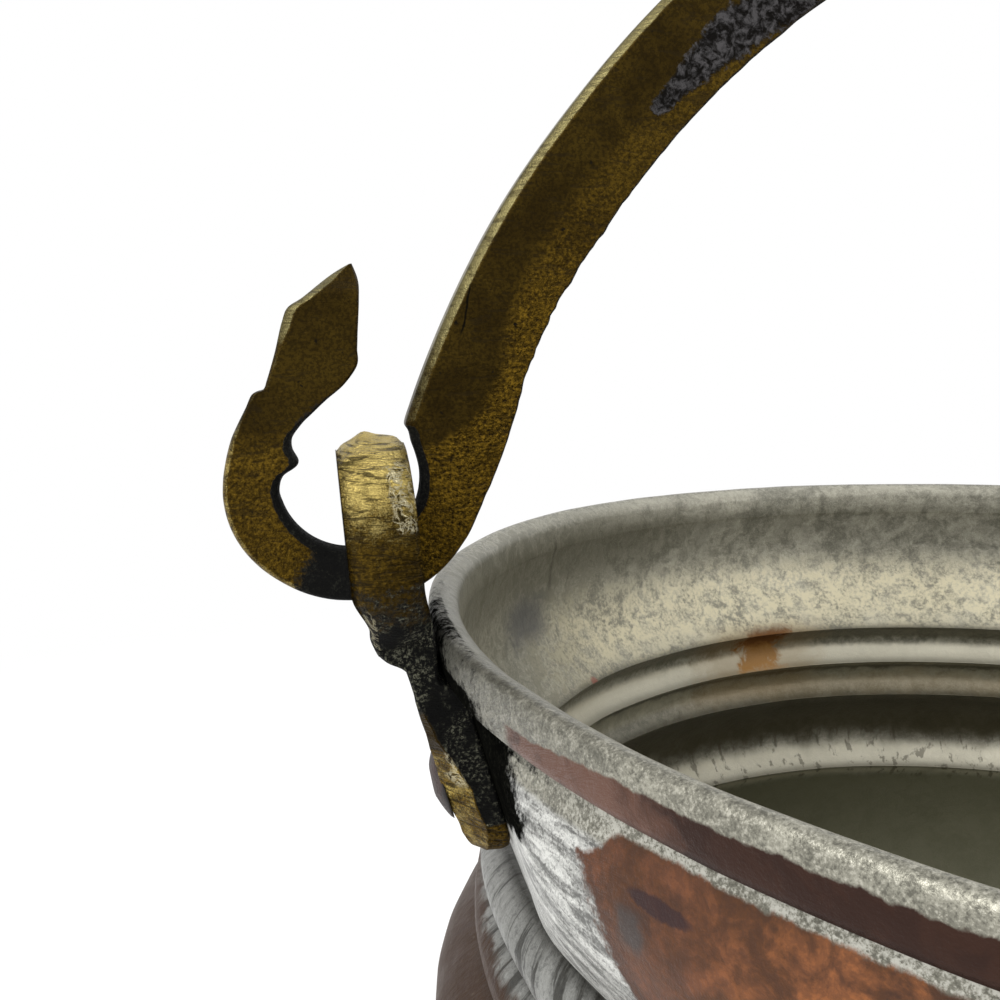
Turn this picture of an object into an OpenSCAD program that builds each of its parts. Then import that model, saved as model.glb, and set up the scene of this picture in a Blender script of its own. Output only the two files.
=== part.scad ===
// Copper pail with a swinging cast brass bail hung from two riveted ring ears.
// Millimetres, +Z up, origin at the middle of the underside, ears on the X axis.

/* [Pail body] */
// outside diameter of the lip
rim_d = 221; // [180:1:300]
// height from the underside to the top of the lip
pail_h = 150; // [125:1:220]
// thickness of the raised sheet
sheet_t = 1.4; // [1:0.1:2]
// flat underside the pail stands on, diameter
base_d = 172; // [140:1:190]
// how far the lower belly swells past a straight taper
belly_swell = 20; // [8:1:26]

/* [Lip] */
// height of the lip on the outside
lip_h = 6; // [4:0.5:9]
// width of the lip across its top
lip_w = 4.4; // [3:0.1:6]
// how much lower the inner edge of the lip is than the outer edge
lip_fall = 1.9; // [0.5:0.1:3]

/* [Neck mouldings] */
// depth of the first crease below the rim
crease_1 = 34.4; // [32:0.1:37]
// depth of the second crease below the rim
crease_2 = 43.1; // [40:0.1:46]
// depth of the third crease below the rim
crease_3 = 52; // [49:0.1:56]
// depth of the fourth crease below the rim
crease_4 = 72.5; // [68:0.1:80]
// how far the creases sit inside the lip
crease_in = 10.6; // [7:0.1:14]
// swell of the collar under the lip
collar_swell = 4.6; // [2:0.1:6]
// swell of each of the two small ridges
ridge_swell = 3.5; // [1:0.1:4.5]
// swell of the shoulder below the ridges
shoulder_swell = 6.6; // [3:0.1:9]

/* [Ring ears] */
// outside diameter of the ring eye
ring_d = 27.4; // [24:0.2:34]
// smallest diameter of the hole through the ring
eye_d = 13.8; // [13.4:0.1:14.4]
// thickness of the ring along its hole
ring_t = 8.2; // [7.4:0.1:8.6]
// height of the middle of the ring above the lip
ring_rise = 9.1; // [8.9:0.1:9.6]
// how far the middle of the ring stands outside the lip
ring_out = 6.4; // [6.2:0.1:6.7]
// outward lean of the ring, degrees
ring_lean = 4.6; // [3:0.2:5.4]
// width of the strap below the ring
strap_w = 15; // [11:0.5:20]
// thickness of the strap
strap_t = 5.9; // [4:0.1:7]
// depth of the strap's lower tip below the rim
strap_drop = 30.5; // [28:0.5:33]
// lean of the strap and of the flat it sits on, degrees
seat_lean = 16.5; // [14:0.5:18]

/* [Ear rivets] */
// diameter of the rivet head
head_d = 9.2; // [7:0.1:11]
// height of the rivet head
head_h = 1.5; // [1:0.1:2.5]
// diameter of the rivet shank
shank_d = 4.4; // [3:0.1:6]
// depth of the rivet below the rim
rivet_drop = 20.5; // [18:0.5:23]
// clearance between the shank and its hole, on the diameter
shank_gap = 0.1; // [0.05:0.05:0.3]

/* [Bail] */
// radius of the outer edge of the arch
arch_r = 119.9; // [110:0.1:150]
// width of the arch bar
arch_w = 12; // [9:0.1:16]
// thickness of the bail plate
bail_t = 5; // [4:0.1:5.4]
// how far the centre of the arch lies below the rim
arch_low = 13.2; // [5:0.1:20]
// middle radius of the hook bend
hook_r = 11.85; // [11.5:0.05:12.5]
// width of the hook bar
hook_w = 6.9; // [6:0.1:7]
// radius the hook bar is rounded to, so that it turns in the eye
hook_round = 3.5; // [3.2:0.05:3.55]
// how far the centre of the hook bend stands outside the lip
hook_out = 9.8; // [9.5:0.1:10.1]
// height of the centre of the hook bend above the rim
hook_rise = 17.5; // [17.3:0.1:17.9]
// height of the hook's leaf tip above the rim
tip_rise = 42.6; // [38:0.2:48]

/* [Hidden] */
$fn = 96;
rim_r = rim_d / 2;
base_r = base_d / 2;
neck_r = rim_r - lip_w + sheet_t;
far = 2 * rim_r;

// depth and radius at both ends of each moulding, then its swell and how full it is
bands = [
    [lip_h + 0.8, neck_r, crease_1, rim_r - crease_in, collar_swell, 0.9],
    [crease_1, rim_r - crease_in, crease_2, rim_r - crease_in, ridge_swell, 0.8],
    [crease_2, rim_r - crease_in, crease_3, rim_r - crease_in + 1.5, ridge_swell, 0.8],
    [crease_3, rim_r - crease_in + 1.5, crease_4, rim_r - crease_in / 2, shoulder_swell, 0.8],
    [crease_4, rim_r - crease_in / 2, pail_h, base_r, belly_swell, 0.9]
];
band_steps = [12, 6, 6, 10, 18];

// outside radius a fraction t of the way down one moulding
function swell_r(b, t) = b[1] + (b[3] - b[1]) * t + b[4] * pow(abs(sin(180 * t)), b[5]);

// outer side of the wall from the lip down to the underside, stepped closer at the creases
wall = [
    for (k = [0:len(bands) - 1])
        for (i = [0:band_steps[k] - 1])
            let (b = bands[k], t = (1 - cos(180 * i / band_steps[k])) / 2)
                [swell_r(b, t), pail_h - b[0] - (b[2] - b[0]) * t]
];

// the whole pail as if it were solid
module filled_outside() {
    rotate_extrude()
        polygon(concat(
            [[0, pail_h - 3]],
            [[rim_r - lip_w, pail_h - 3], [rim_r - lip_w, pail_h - lip_fall]],
            [for (a = [100:-20:20])
                [rim_r - lip_w + lip_w * 0.94 * cos(a * 0.9),
                 pail_h - lip_fall * pow(1 - sin(a * 0.9), 0.8) - 0.35 * cos(a * 0.9)]],
            [[rim_r, pail_h - 1.4], [rim_r - 0.9, pail_h - lip_h]],
            wall,
            [[base_r, 0], [0, 0]]
        ));
}

// the space inside the pail
module filled_inside() {
    rotate_extrude()
        polygon(concat(
            [[0, pail_h + 1], [rim_r - lip_w, pail_h + 1]],
            [for (p = wall) if (p[1] > sheet_t + 3) [p[0] - sheet_t, p[1]]],
            [[base_r - sheet_t, sheet_t], [0, sheet_t]]
        ));
}

// the side of the slanted flat behind one ear, set back from it by a distance
module beyond_flat(back) {
    intersection() {
        translate([-neck_r, 0, pail_h - lip_h - 1.4])
            rotate([0, -seat_lean, 0])
                translate([-far + back, -far / 2, -far / 2])
                    cube([far, far, far]);
        translate([-far, -far / 2, pail_h - crease_1])
            cube([far, far, crease_1 - lip_h - 1]);
    }
}

// moves something drawn at the left flat's rivet onto the part, X pointing into the wall
module at_rivet() {
    translate([-neck_r, 0, pail_h - lip_h - 1.4])
        rotate([0, -seat_lean, 0])
            translate([0, 0, -(rivet_drop - lip_h - 1.4) / cos(seat_lean)])
                children();
}

module both_sides() {
    children();
    mirror([1, 0, 0]) children();
}

module bucket_body() {
    color("peru")
        difference() {
            difference() {
                filled_outside();
                both_sides() beyond_flat(0);
            }
            difference() {
                filled_inside();
                both_sides() beyond_flat(sheet_t);
            }
            both_sides()
                at_rivet()
                    rotate([0, 90, 0])
                        translate([0, 0, -2])
                            cylinder(h = 8, d = shank_d + shank_gap);
        }
}

// ring with a belled hole, its axis along X
module ring_eye() {
    bell = ring_t / 2;
    difference() {
        ring_band(bell);
        // worn slope low on the outer side
        translate([-bell, 0, -ring_d / 2 + 5])
            rotate([0, -24, 0])
                translate([-ring_t, -ring_d / 2, -ring_d])
                    cube([ring_t, ring_d, ring_d]);
    }
}

module ring_band(bell) {
    rotate([0, 90, 0])
        rotate_extrude() {
            intersection() {
                translate([eye_d / 2 + bell, 0]) circle(r = bell);
                translate([eye_d / 2 - 1, -bell - 1]) square([bell + 1, 2 * bell + 2]);
            }
            polygon([
                [eye_d / 2 + bell, -bell], [ring_d / 2 - 0.7, -bell], [ring_d / 2, -bell + 0.9],
                [ring_d / 2, bell - 0.9], [ring_d / 2 - 0.7, bell], [eye_d / 2 + bell, bell]
            ]);
        }
}

// side outline of the strap: x across its thickness, y up, zero at the top of the flat
module strap_side() {
    low = -(strap_drop - lip_h - 1.4) / cos(seat_lean);
    polygon([
        [1, -1.2], [1, low + 1], [-1.2, low], [-strap_t + 2.2, low + 0.6],
        [-strap_t + 0.5, low + 2.6], [-strap_t, low + 4.6], [-strap_t, 3.2], [-3, 6.5], [-3, -1.2]
    ]);
}

module left_ear_shape() {
    difference() {
        union() {
            translate([-rim_r - ring_out, 0, pail_h + ring_rise])
                rotate([0, -ring_lean, 0])
                    ring_eye();
            // strap with a rounded foot
            translate([-neck_r, 0, pail_h - lip_h - 1.4])
                rotate([0, -seat_lean, 0])
                    intersection() {
                        rotate([90, 0, 0])
                            translate([0, 0, -strap_w / 2])
                                linear_extrude(strap_w) strap_side();
                        rotate([0, -90, 0])
                            linear_extrude(3 * strap_t, center = true) {
                                translate([-(strap_drop - lip_h - 1.4) / cos(seat_lean) + strap_w / 2, 0])
                                    circle(d = strap_w);
                                translate([-(strap_drop - lip_h - 1.4) / cos(seat_lean) + strap_w / 2,
                                           -strap_w / 2])
                                    square([far / 4, strap_w]);
                            }
                    }
            // neck between the ring and the strap, outside the lip, a little wider than the strap
            translate([-rim_r - ring_out, 0, pail_h])
                rotate([90, 0, 0])
                    translate([0, 0, -strap_w / 2 - 1])
                        linear_extrude(strap_w + 2)
                            polygon([
                                [ring_out - 0.4, -lip_h - 0.8], [ring_out - 0.4, -4.2],
                                [ring_t / 2, -1.5], [ring_t / 2 - 0.5, -1], [-1, -1], [-0.6, -3.3],
                                [0.6, -4.8], [2.4, -5.6], [3.4, -lip_h - 3], [ring_out - 0.4, -lip_h - 3]
                            ]);
        }
        // the strap takes the shape of the wall it sits on
        difference() {
            filled_outside();
            beyond_flat(0);
        }
        at_rivet()
            rotate([0, 90, 0])
                translate([0, 0, -3 * strap_t])
                    cylinder(h = 4 * strap_t, d = shank_d + shank_gap);
    }
}

module left_ear() {
    color("goldenrod") left_ear_shape();
}

module right_ear() {
    color("goldenrod") mirror([1, 0, 0]) left_ear_shape();
}

// domed head outside the strap, shank through strap and wall, small peened head inside
module rivet_shape() {
    dome_r = (head_d * head_d / 4 + head_h * head_h) / (2 * head_h);
    at_rivet()
        rotate([0, 90, 0]) {
            intersection() {
                translate([0, 0, -strap_t - head_h + dome_r])
                    sphere(r = dome_r);
                translate([0, 0, -strap_t - head_h])
                    cylinder(h = head_h, d = head_d);
            }
            translate([0, 0, -strap_t])
                cylinder(h = strap_t + sheet_t, d = shank_d);
            translate([0, 0, sheet_t])
                cylinder(h = 0.8, d = shank_d + 3);
        }
}

module left_ear_rivet() {
    color("sienna") rivet_shape();
}

module right_ear_rivet() {
    color("sienna") mirror([1, 0, 0]) rivet_shape();
}

// where the arch bar ends above the hook, as an angle up from level at the arch centre
arch_end = 18.2;
arch_in = arch_r - arch_w;
hook_x = -rim_r - hook_out;
hook_in = hook_r - hook_w / 2;
hook_outer = hook_r + hook_w / 2;
// the bend runs from the leg round to the head, angles about its own centre
bend_from = 165;
bend_to = 352;

// a point at a radius and an angle about the centre of the hook bend
function round_hook(r, a) = [hook_x + r * cos(a), hook_rise + r * sin(a)];

// a point at a radius and an angle up from level about the centre of the arch
function round_arch(r, a) = [-r * cos(a), r * sin(a) - arch_low];

module arch_outline() {
    difference() {
        translate([0, -arch_low]) circle(r = arch_r);
        translate([0, -arch_low]) circle(r = arch_in);
        translate([0, -arch_low])
            polygon([
                [0, 0], [-far * cos(arch_end), far * sin(arch_end)], [-far, -far], [far, -far],
                [far * cos(arch_end), far * sin(arch_end)]
            ]);
    }
}

// tapering leg from the arch bar down to the bend
module leg_outline() {
    polygon([
        round_arch(arch_r - 0.01, arch_end + 0.1), round_arch(arch_r - 4, arch_end + 2),
        round_arch(arch_in + 0.01, arch_end + 3),
        round_hook(hook_outer + 3.6, 13), round_hook(hook_outer + 2.7, 6),
        round_hook(hook_outer + 1.6, -2), round_hook(hook_outer + 0.9, -10),
        round_hook(hook_outer + 0.4, -20), round_hook(hook_outer + 0.1, -26),
        round_hook(hook_in + 0.6, -16), round_hook(hook_in + 0.1, -6),
        round_hook(hook_in - 0.1, 8), round_hook(hook_in + 0.2, 24)
    ]);
}

// leaf head that rises outside the ear
module leaf_outline() {
    polygon([
        round_hook(hook_outer - 0.4, 177), round_hook(hook_outer - 0.5, 168), round_hook(hook_outer - 0.9, 160),
        [hook_x - 12.9, hook_rise + 7.1], [hook_x - 11.2, hook_rise + 9.6],
        [hook_x - 9, hook_rise + 12], [hook_x - 7.8, hook_rise + 16.2],
        [hook_x - 7.4, hook_rise + 19.8], [hook_x - 5.2, tip_rise - 4],
        [hook_x + 0.1, tip_rise], [hook_x + 1.1, tip_rise - 1.9],
        [hook_x + 1.4, tip_rise - 4.2], [hook_x + 1.2, hook_rise + 14.1],
        [hook_x + 0.6, hook_rise + 12.4], [hook_x - 2.6, hook_rise + 9.4],
        [hook_x - 5.2, hook_rise + 7], round_hook(hook_in - 0.2, 150), round_hook(hook_in + 0.3, 177)
    ]);
}

module bail() {
    color("olive")
        translate([0, 0, pail_h]) {
            rotate([90, 0, 0])
                translate([0, 0, -bail_t / 2])
                    linear_extrude(bail_t) {
                        arch_outline();
                        leg_outline();
                        leaf_outline();
                        mirror([1, 0]) leg_outline();
                        mirror([1, 0]) leaf_outline();
                    }
            // the round bends that turn in the eyes
            both_sides()
                translate([hook_x, 0, hook_rise])
                    rotate([90, 0, 0])
                        rotate([0, 0, bend_from])
                            rotate_extrude(angle = bend_to - bend_from)
                                translate([hook_r, 0])
                                    intersection() {
                                        square([hook_w, bail_t], center = true);
                                        circle(r = hook_round);
                                    }
        }
}

bucket_body();
left_ear();
right_ear();
left_ear_rivet();
right_ear_rivet();
bail();
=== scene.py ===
import math
from functools import partial
import bpy
import numpy as np
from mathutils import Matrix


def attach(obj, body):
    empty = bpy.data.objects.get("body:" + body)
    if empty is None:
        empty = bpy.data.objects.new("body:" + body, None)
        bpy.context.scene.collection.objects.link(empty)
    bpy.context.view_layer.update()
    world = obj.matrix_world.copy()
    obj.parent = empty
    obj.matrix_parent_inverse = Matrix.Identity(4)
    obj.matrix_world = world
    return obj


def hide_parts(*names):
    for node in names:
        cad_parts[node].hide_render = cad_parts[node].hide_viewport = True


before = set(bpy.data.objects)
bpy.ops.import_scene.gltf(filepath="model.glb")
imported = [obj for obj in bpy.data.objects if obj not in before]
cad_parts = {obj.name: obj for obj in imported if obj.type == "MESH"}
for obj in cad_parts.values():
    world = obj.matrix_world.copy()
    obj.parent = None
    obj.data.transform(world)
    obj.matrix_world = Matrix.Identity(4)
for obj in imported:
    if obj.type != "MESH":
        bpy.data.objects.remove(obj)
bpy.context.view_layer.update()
print("frame loaded")

# all sizes below are in millimetres unless a note says otherwise
mm = 0.001

# ---------- small helpers for surfaces ----------


def smoothStep(low, high, value):
    t = np.clip((value - low) / (high - low), 0, 1)
    return t * t * (3 - 2 * t)


# smooth value noise made of turned sine waves, about -1 to 1
def waveNoise(x, y, z, size, seed):
    rng = np.random.default_rng(seed)
    total = np.zeros_like(x, dtype=float)
    for k in range(9):
        direction = rng.normal(size=3)
        direction /= np.linalg.norm(direction)
        reach = size * rng.uniform(0.7, 1.5)
        phase = rng.uniform(0, 2 * math.pi)
        across = x * direction[0] + y * direction[1] + z * direction[2]
        total += np.sin(across * 2 * math.pi / reach + phase)
    return total / 4.2


# smooth curve through a few points: each value follows a cubic between its neighbours, with slopes from the
# points
def smoothCurve(points, u):
    points = np.array(points, dtype=float)
    keys = points[:, 0]
    out = []
    for column in points.T[1:]:
        slope = np.gradient(column, keys)
        i = np.clip(np.searchsorted(keys, u) - 1, 0, len(keys) - 2)
        h = keys[i + 1] - keys[i]
        t = np.clip((u - keys[i]) / h, 0, 1)
        value = (2 * t**3 - 3 * t**2 + 1) * column[i] + (t**3 - 2 * t**2 + t) * h * slope[i]
        value += (-2 * t**3 + 3 * t**2) * column[i + 1] + (t**3 - t**2) * h * slope[i + 1]
        out.append(value)
    return np.stack(out, -1)


# grid of rings by points, closed round each ring; poles or caps close its ends
def ringMesh(name, grid, attributes=None, closedAlong=False):
    rings, around = grid.shape[:2]
    verts = grid.reshape(-1, 3)
    i = np.arange(rings if closedAlong else rings - 1)[:, None]
    j = np.arange(around)[None, :]
    a = (i % rings) * around + j
    b = (i % rings) * around + (j + 1) % around
    c = ((i + 1) % rings) * around + (j + 1) % around
    d = ((i + 1) % rings) * around + j
    quads = np.stack([a, b, c, d], -1).reshape(-1, 4)
    corners = verts[quads]
    turned = np.cross(corners[:, 1] - corners[:, 0], corners[:, 2] - corners[:, 0])
    outward = (turned * (corners[:, 0] - verts.mean(0))).sum() > 0
    faces = (quads if outward else quads[:, ::-1]).tolist()
    values = {key: list(value.reshape(-1)) for key, value in (attributes or {}).items()}
    if not closedAlong:
        verts = list(map(tuple, verts))
        for ring, turn in ((0, 1), (rings - 1, -1)):
            centre = grid[ring].mean(0)
            verts.append(tuple(centre))
            tip = len(verts) - 1
            for key in values:
                row = attributes[key][ring]
                values[key].append(float(row.mean()))
            for k in range(around):
                pair = (ring * around + k, ring * around + (k + 1) % around)
                faces.append((pair[1], pair[0], tip) if (turn == 1) == outward else (pair[0], pair[1], tip))
        verts = np.array(verts)
    return makeMesh(name, verts, faces, values)


def makeMesh(name, verts, faces, values):
    mesh = bpy.data.meshes.new(name)
    mesh.from_pydata((np.asarray(verts) * mm).tolist(), [], faces)
    mesh.update()
    mesh.polygons.foreach_set("use_smooth", np.ones(len(mesh.polygons), dtype=bool))
    for key, value in values.items():
        layer = mesh.attributes.new(key, "FLOAT", "POINT")
        layer.data.foreach_set("value", np.asarray(value, dtype=np.float32))
    obj = bpy.data.objects.new(name, mesh)
    bpy.context.scene.collection.objects.link(obj)
    return obj


# two closed surfaces kept as one piece
def joinMeshes(name, parts):
    bpy.ops.object.select_all(action="DESELECT")
    for part in parts:
        part.select_set(True)
    bpy.context.view_layer.objects.active = parts[0]
    bpy.ops.object.join()
    parts[0].name = name
    parts[0].data.name = name
    return parts[0]


# ---------- small helpers for shader nodes ----------


def addNode(tree, kind, inputs=None, **settings):
    node = tree.nodes.new(kind)
    for key, value in settings.items():
        setattr(node, key, value)
    for key, value in (inputs or {}).items():
        socket = node.inputs[key]
        if isinstance(value, bpy.types.NodeSocket):
            tree.links.new(value, socket)
        else:
            socket.default_value = value
    return node


def math2(tree, operation, a, b=0.0, c=0.0, clamp=False):
    node = addNode(tree, "ShaderNodeMath", {0: a, 1: b, 2: c}, operation=operation, use_clamp=clamp)
    return node.outputs[0]


# 0 below low, 1 above high, smooth between; low may be above high
def fade(tree, value, low, high):
    node = addNode(tree, "ShaderNodeMapRange", {"Value": value}, interpolation_type="SMOOTHSTEP")
    flip = low > high
    node.inputs["From Min"].default_value = high if flip else low
    node.inputs["From Max"].default_value = low if flip else high
    node.inputs["To Min"].default_value = 1.0 if flip else 0.0
    node.inputs["To Max"].default_value = 0.0 if flip else 1.0
    return node.outputs["Result"]


# 1 between low and high, fading over soft on both sides
def band(tree, value, low, high, soft):
    rise = fade(tree, value, low - soft, low + soft)
    fall = fade(tree, value, high + soft, high - soft)
    return math2(tree, "MULTIPLY", rise, fall)


def mixColor(tree, factor, a, b):
    node = addNode(tree, "ShaderNodeMix", data_type="RGBA", clamp_factor=True)
    for key, value in ((0, factor), (6, a), (7, b)):
        socket = node.inputs[key]
        if isinstance(value, bpy.types.NodeSocket):
            tree.links.new(value, socket)
        else:
            socket.default_value = (*value, 1.0) if isinstance(value, tuple) and len(value) == 3 else value
    return node.outputs[2]


def mixValue(tree, factor, a, b):
    node = addNode(tree, "ShaderNodeMix", {0: factor, 2: a, 3: b}, data_type="FLOAT", clamp_factor=True)
    return node.outputs[0]


def noise(tree, vector, scale, detail=4.0, rough=0.55, distortion=0.0):
    node = addNode(
        tree, "ShaderNodeTexNoise",
        {"Vector": vector, "Scale": scale, "Detail": detail, "Roughness": rough, "Distortion": distortion},
    )
    return node.outputs["Fac"]


def attribute(tree, name):
    return addNode(tree, "ShaderNodeAttribute", attribute_name=name).outputs["Fac"]


def stretch(tree, vector, x, y, z):
    node = addNode(tree, "ShaderNodeMapping", {"Vector": vector, "Scale": (x, y, z)})
    return node.outputs["Vector"]


# object coordinates in millimetres
def objectMm(tree):
    coords = addNode(tree, "ShaderNodeTexCoord").outputs["Object"]
    inMm = addNode(tree, "ShaderNodeVectorMath", {0: coords, 1: (1000, 1000, 1000)}, operation="MULTIPLY")
    return inMm.outputs[0]


def split(tree, vector):
    node = addNode(tree, "ShaderNodeSeparateXYZ", {0: vector})
    return node.outputs[0], node.outputs[1], node.outputs[2]


def newGroup(name, inputs, outputs):
    tree = bpy.data.node_groups.new(name, "ShaderNodeTree")
    for label, kind in inputs:
        tree.interface.new_socket(name=label, in_out="INPUT", socket_type=kind)
    for label, kind in outputs:
        tree.interface.new_socket(name=label, in_out="OUTPUT", socket_type=kind)
    start = tree.nodes.new("NodeGroupInput")
    end = tree.nodes.new("NodeGroupOutput")
    return tree, start.outputs, end.inputs


def useGroup(tree, group, inputs):
    node = tree.nodes.new("ShaderNodeGroup")
    node.node_tree = group
    for key, value in inputs.items():
        if isinstance(value, bpy.types.NodeSocket):
            tree.links.new(value, node.inputs[key])
        else:
            node.inputs[key].default_value = value
    return node.outputs


def newMaterial(name):
    material = bpy.data.materials.new(name)
    material.use_nodes = True
    tree = material.node_tree
    tree.nodes.clear()
    output = tree.nodes.new("ShaderNodeOutputMaterial")
    shader = tree.nodes.new("ShaderNodeBsdfPrincipled")
    tree.links.new(shader.outputs[0], output.inputs["Surface"])
    return material, tree, shader


# height in millimetres to a bumped normal
def bump(tree, height, strength=1.0):
    node = addNode(tree, "ShaderNodeBump", {"Height": height, "Strength": strength, "Distance": mm})
    return node.outputs["Normal"]


# the helpers tied to one node tree, so that long patterns read as sums: add, subtract, multiply,
# multiply and add, the larger of two, mixed colours, fade, band and noise
def tied(tree):
    sums = [partial(math2, tree, kind) for kind in ("ADD", "SUBTRACT", "MULTIPLY", "MULTIPLY_ADD", "MAXIMUM")]
    return *sums, *(partial(make, tree) for make in (mixColor, fade, band, noise))


# ---------- shared shader groups ----------

# cast brass: olive tarnish over yellow metal, bright where worn and where a highlight is painted
brassLook = {
    "tarnish": (0.052, 0.033, 0.006),
    "deepTarnish": (0.027, 0.017, 0.004),
    "gold": (0.19, 0.112, 0.012),
    "pale": (0.15, 0.128, 0.055),    # worn edges of the bail, with a painted highlight on them
    "bright": (0.76, 0.58, 0.18),  # rubbed gold of the rings, also their painted glint
    "grainSize": 0.5,  # millimetres across one casting grain
}

castBrass, gin, gout = newGroup(
    "castBrass",
    [("Vector", "NodeSocketVector"), ("WearAndHighlight", "NodeSocketFloat"), ("Rough", "NodeSocketFloat")],
    [("Color", "NodeSocketColor"), ("Roughness", "NodeSocketFloat"), ("Height", "NodeSocketFloat")],
)
add, less, times, scaled, most, mix, ease, zone, noisy = tied(castBrass)
grain = noisy(gin["Vector"], 1 / brassLook["grainSize"], 3.0, 0.6)
fine = noisy(gin["Vector"], 3.0 / brassLook["grainSize"], 2.0, 0.5)
cloud = noisy(gin["Vector"], 0.13, 8.0, 0.7, 0.4)
base = mix(ease(cloud, 0.35, 0.65), brassLook["deepTarnish"], brassLook["tarnish"])
speckle = ease(add(grain, scaled(cloud, 0.5, -0.25)), 0.4, 0.62)
golden = times(scaled(speckle, 0.6, 0.3), gin["Rough"])
base = mix(golden, base, brassLook["gold"])
dim = times(ease(noisy(gin["Vector"], 2.6, 4.0, 0.7), 0.56, 0.42), 0.6)
base = mix(dim, base, (0.012, 0.008, 0.003))
pits = times(ease(grain, 0.43, 0.33), gin["Rough"])
base = mix(pits, base, (0.016, 0.01, 0.004))
wornEdge = scaled(fine, 0.7, -0.35)
wornEdge = add(wornEdge, scaled(noisy(gin["Vector"], 0.6), 0.9, -0.45))
# wear and painted highlight share this mask
worn = ease(add(gin["WearAndHighlight"], wornEdge), 0.25, 0.85)
shine = mix(gin["Rough"], brassLook["pale"], brassLook["bright"])
castBrass.links.new(mix(worn, base, shine), gout["Color"])
sheen = mixValue(castBrass, worn, 0.46, 0.36)
castBrass.links.new(scaled(gin["Rough"], 0.12, sheen), gout["Roughness"])
lift = times(less(grain, 0.5), 0.6)
lift = times(lift, add(gin["Rough"], 0.12))
castBrass.links.new(scaled(fine, 0.06, lift), gout["Height"])

# black sooty dirt with ragged edges; next to the ear straps it also stands for painted shade
sootAndShadeLook = {"black": (0.004, 0.004, 0.0035), "dust": (0.21, 0.21, 0.15)}

sootAndShade, gin, gout = newGroup(
    "sootAndShade",
    [("Vector", "NodeSocketVector"), ("Amount", "NodeSocketFloat"), ("Crumbs", "NodeSocketFloat")],
    [("Mask", "NodeSocketFloat"), ("Color", "NodeSocketColor"), ("Height", "NodeSocketFloat")],
)
add, less, times, scaled, most, mix, ease, zone, noisy = tied(sootAndShade)
ragged = noisy(gin["Vector"], 0.8, 7.0, 0.78)
uneven = scaled(ragged, 1.7, -0.85)
mask = ease(add(gin["Amount"], uneven), 0.34, 0.66)
crumbs = noisy(gin["Vector"], 2.3, 6.0, 0.8)
dusty = ease(noisy(gin["Vector"], 0.33, 3.0, 0.6), 0.38, 0.58)
dustMask = times(ease(crumbs, 0.49, 0.63), times(gin["Crumbs"], dusty))
sootAndShade.links.new(mask, gout["Mask"])
sootAndShade.links.new(mix(dustMask, sootAndShadeLook["black"], sootAndShadeLook["dust"]), gout["Color"])
sootAndShade.links.new(times(crumbs, 1.1), gout["Height"])
print("shader groups ready")

# ---------- pail body ----------

bodySizes = {
    "height": 150.0,
    "sheet": 1.4,
    "baseRadius": 86.0,
    "neckRadius": 107.5,
    "seatLean": 16.5,  # degrees, flat behind each ear
    "seatTop": 7.4,    # depth where that flat starts
    "wobble": 0.22,    # how uneven the hammered wall is
    "around": 384,
}
# depth and radius at both ends of each moulding, then its swell and how full it is
bodyBands = [
    (6.8, 107.5, 34.4, 99.9, 4.6, 0.9, 30),
    (34.4, 99.9, 43.1, 99.9, 3.5, 0.8, 13),
    (43.1, 99.9, 52.0, 101.4, 3.5, 0.8, 13),
    (52.0, 101.4, 72.5, 105.2, 6.6, 0.8, 20),
    (72.5, 105.2, 150.0, 86.0, 20.0, 0.9, 26),
]


# each moulding runs straight between its ends and swells by a power of a half sine
def bodyWall():
    rows = []
    for top, r0, low, r1, swell, full, steps in bodyBands:
        for k in range(steps):
            t = (1 - math.cos(math.pi * k / steps)) / 2
            radius = r0 + (r1 - r0) * t + swell * abs(math.sin(math.pi * t)) ** full
            rows.append((radius, top + (low - top) * t))
    return np.array(rows)


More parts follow.
